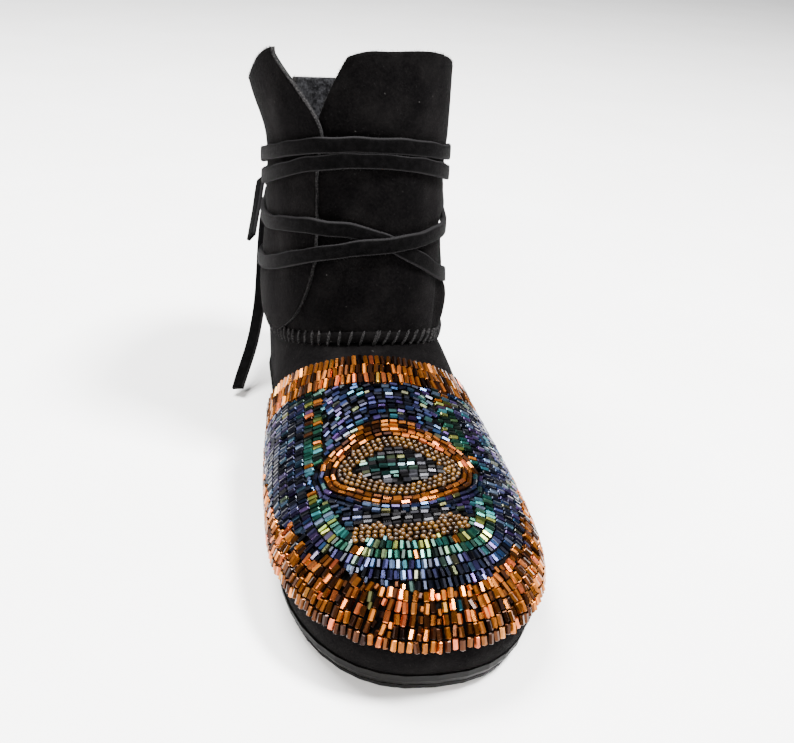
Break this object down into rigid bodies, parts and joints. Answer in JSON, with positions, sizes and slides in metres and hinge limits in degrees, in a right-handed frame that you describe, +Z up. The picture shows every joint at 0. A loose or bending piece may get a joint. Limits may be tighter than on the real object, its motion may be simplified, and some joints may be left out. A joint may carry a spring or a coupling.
{
  "type": "beaded ankle boot",
  "caption": "Left suede ankle boot on a flat rubber sole, vamp covered in bead rows, wrapped shaft with overlapping flap tied by a leather thong.",
  "frame": {"origin": "on the floor at the middle of the boot's length and width, loose thong ends left out", "axes": "-Y towards the toe, +Y towards the heel, +X towards the outer side of the left foot, +Z up"},
  "size_m": [0.0935, 0.2568, 0.161],
  "materials": {
    "suede": "black suede, soft nap, matt",
    "beads": "glossy metallic and lustred glass beads sewn in rows",
    "thong": "black leather thong, raw cut edges",
    "sole_rubber": "smooth dark grey rubber, satin",
    "tread_rubber": "black rubber, matt",
    "sock": "dark fleece insole, matt"
  },
  "bodies": {
    "root": {"upper": "suede", "bead_panel": "beads", "ankle_seam": "thong", "wrap_flap": "suede", "thong_windings": "thong", "midsole": "sole_rubber", "outsole": "tread_rubber", "insole": "sock", "thong_knot": "thong", "thong_end_long": "thong", "thong_end_short": "thong"}
  },
  "joints": []
}
